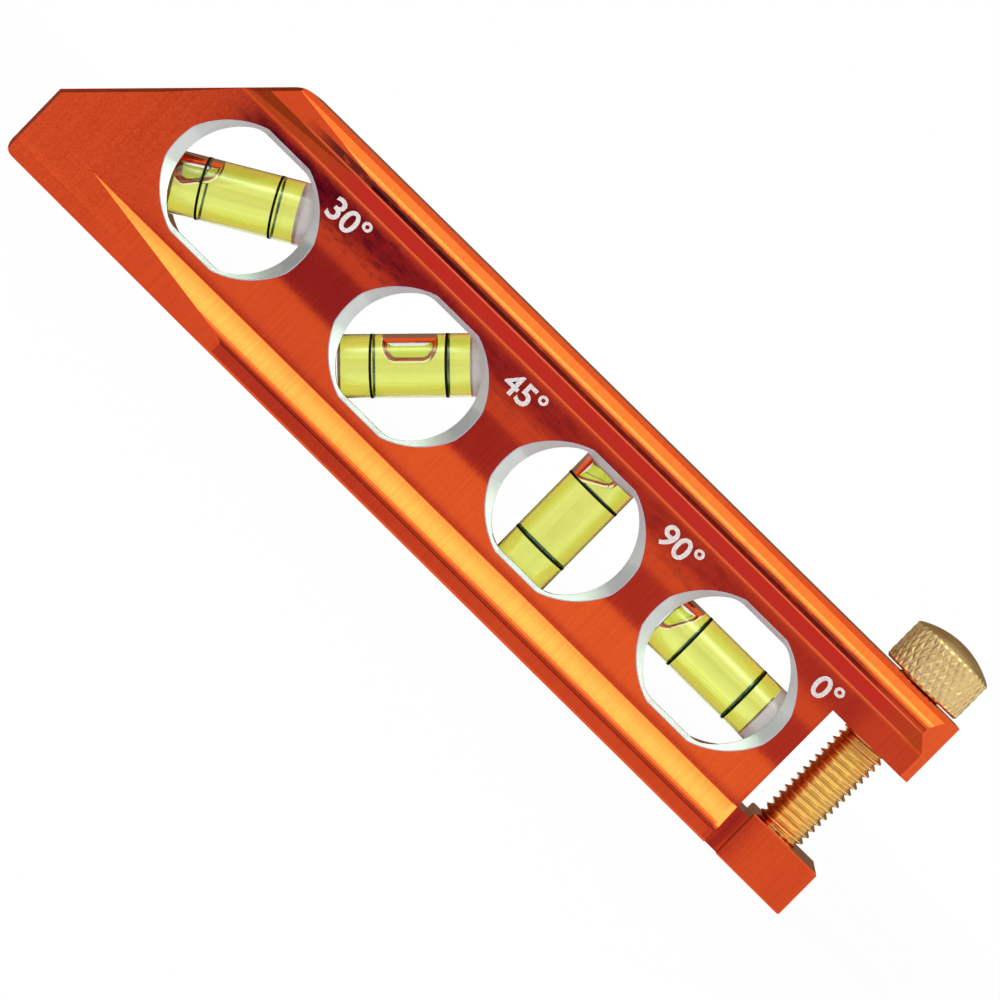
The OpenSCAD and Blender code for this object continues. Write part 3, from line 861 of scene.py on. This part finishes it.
def front_card():
    """What the front of the level mirrors: a card before it, in tones set by the place on the level."""
    made = sheet_of("front_card", (0, FRONT_Y, 0), (-1, 0, 0), (0, 0, 1), 0.56, 0.17)
    material, net = stage_material("front_card")
    x, _, z = place_on(net)
    # The place along the level and over its base that mirrors this point to the camera
    k = (-FRONT_Y / MM + WEB_Y) / (CAMERA_PLACE.y / -MM + WEB_Y)
    u = (x + CAMERA_PLACE.x / MM * k) / (1 + k) + LEVEL_L / 2
    v = (z + CAMERA_PLACE.z / MM * k) / (1 + k)
    past = u.rise(47, 115)
    behind_nose = u.rise(14, 22)
    base_rail = 0.46 + 0.20 * past + 0.14 * (1 - v.rise(2.0, 2.8))
    clamp = (0.7 + 0.17 * (1 - v.rise(12, 20))) * (0.75 + 0.25 * u.rise(146, 149.5))
    level = 1.02 - 0.12 * (1 - u.rise(55, 78))
    for value, where in (
        (base_rail, 1 - v.rise(6.2, 6.9)),
        # The line where the web meets the base rail
        (0.62, v.band(6.6, 7.6, 0.3)),
        # The web: a dark zone level with the windows, a pale one over it and the darkest at its top
        (0.36 + 0.17 * past, u.rise(24, 36) * v.band(14.85, 22.4, 0.3)),
        (0.70 + 0.12 * past, behind_nose * v.rise(22.1, 22.7)),
        (0.12 + 0.16 * u.rise(34, 47) + 0.22 * past, behind_nose * v.rise(24.5, 27.6)),
        # The top rail and the dark line that it mirrors along it
        (0.66, v.rise(29.9, 30.5)),
        (0.14 + 0.16 * u.rise(47, 80), u.rise(30, 42) * v.rise(33.3, 33.6)),
        # The nose and the clamp
        (0.86, 1 - u.rise(15, 22)),
        (clamp, u.rise(143, 146)),
    ):
        level = toward(level, value, where)
    # The dark joint between the base rail and the anvil's neck
    level = level * (1 - 0.4 * u.band(143.6, 145.9, 0.2) * (1 - v.rise(9, 10)))
    tones = {0: level, 1: level.math("POWER", level, 1.9), 2: 0.35 + 0.65 * level}
    # The highest part is plain, because the top of the level mirrors it
    colour = mix(v.rise(39, 41), net.make("ShaderNodeCombineColor", tones), (0.36, 0.34, 0.32, 1.0))
    glow = net.make("ShaderNodeEmission", {"Color": colour, "Strength": 1.0})
    return close_material(made, material, glow)


def key_card():
    """The bright window light that the slopes mirror, brightest along its middle."""
    run, rise = math.cos(KEY_RISE), math.sin(KEY_RISE)
    centre = Vector((0, -run, rise)) * KEY_DISTANCE
    made = sheet_of("key_card", centre, (-1, 0, 0), (0, rise, run), 1.6, 0.35)
    material, net = stage_material("key_card")
    _, y, z = place_on(net)
    up = y * rise + z * run
    strength = 0.6 + 1.9 * up.band(-180, 200, 60) + 4.2 * up.band(-30, 30, 45)
    glow = net.make("ShaderNodeEmission", {"Color": (0.8, 1, 0.8, 1), "Strength": strength})
    return close_material(made, material, glow)


def plain_card(name, centre, right, up, width, height, colour):
    """A card of one colour in one direction of the metal's reflections."""
    made = sheet_of(name, centre, right, up, width, height)
    material, net = stage_material(name)
    glow = net.make("ShaderNodeEmission", {"Color": colour, "Strength": 1.0})
    return close_material(made, material, glow)


def seen_in_metal_only(made):
    """Hides a card from all rays but reflections."""
    made.visible_camera = False
    made.visible_diffuse = False
    made.visible_shadow = False
    made.visible_transmission = False
    made.visible_volume_scatter = False


def lamp(name, place, width, height, radiance):
    """A rectangular soft lamp aimed at the level, with the brightness that its face would show."""
    light = bpy.data.lights.new(name, "AREA")
    light.shape = "RECTANGLE"
    light.size, light.size_y = width, height
    light.energy = radiance * math.pi * width * height
    made = new_object(name, light)
    made.location = place
    made.rotation_euler = (LAMP_AIM - Vector(place)).to_track_quat("-Z", "Y").to_euler()
    made.visible_glossy = False


def surroundings():
    """White all round to the camera, in metal and through glass, and a soft light on the object."""
    world = bpy.data.worlds.new("studio")
    bpy.context.scene.world = world
    world.use_nodes = True
    tree = world.node_tree
    tree.nodes.clear()
    air = Wire(tree)
    seen = seen_by(air, "Is Camera Ray", "Is Glossy Ray", "Is Transmission Ray")
    sky = air.make("ShaderNodeBackground", {"Color": (1, 1, 1, 1), "Strength": 0.35 + 0.65 * seen})
    end = tree.nodes.new("ShaderNodeOutputWorld")
    tree.links.new(sky.socket, end.inputs["Surface"])


def photo_camera():
    """A camera at the photograph's viewing angle."""
    data = bpy.data.cameras.new("camera")
    data.sensor_width = 36.0
    data.lens = 149.128
    data.clip_start, data.clip_end = 0.05, 50.0
    camera = new_object("camera", data)
    axes = Matrix((CAMERA_RIGHT, CAMERA_RIGHT.cross(CAMERA_FORWARD), -CAMERA_FORWARD))
    place = axes.transposed().to_4x4()
    place.translation = CAMERA_PLACE
    camera.matrix_world = place
    return camera


# For each plain card: its centre, the ways right and up on it, its width and height, and its colour
PLAIN_CARDS = {
    "left_card": ((-0.7, 0, 0.3), (0, 1, 0), (0, 0, 1), 0.5, 1.0, (0.25, 0.25, 0.25, 1)),
    "low_card": ((0, -0.02, -0.03), (1, 0, 0), (0, 1, 0), 0.24, 0.022, (0.60, 0.55, 0.57, 1)),
    "back_card": ((0, 0.35, 0.3), (1, 0, 0), (0, 0, 1), 1.2, 0.7, (0.19, 0.11, 0.06, 1)),
}

white_floor = floor()
white_floor.visible_glossy = False
seen_in_metal_only(front_card())
seen_in_metal_only(key_card())
for name, card in PLAIN_CARDS.items():
    seen_in_metal_only(plain_card(name, *card))
lamp("key_lamp", (-0.05, -0.44, 0.56), 1.0, 0.22, 6.5)
lamp("side_lamp", (-0.9, -0.3, 0.35), 0.3, 0.5, 1.5)
surroundings()
bpy.context.scene.camera = photo_camera()
bpy.context.scene.view_settings.view_transform = "Standard"
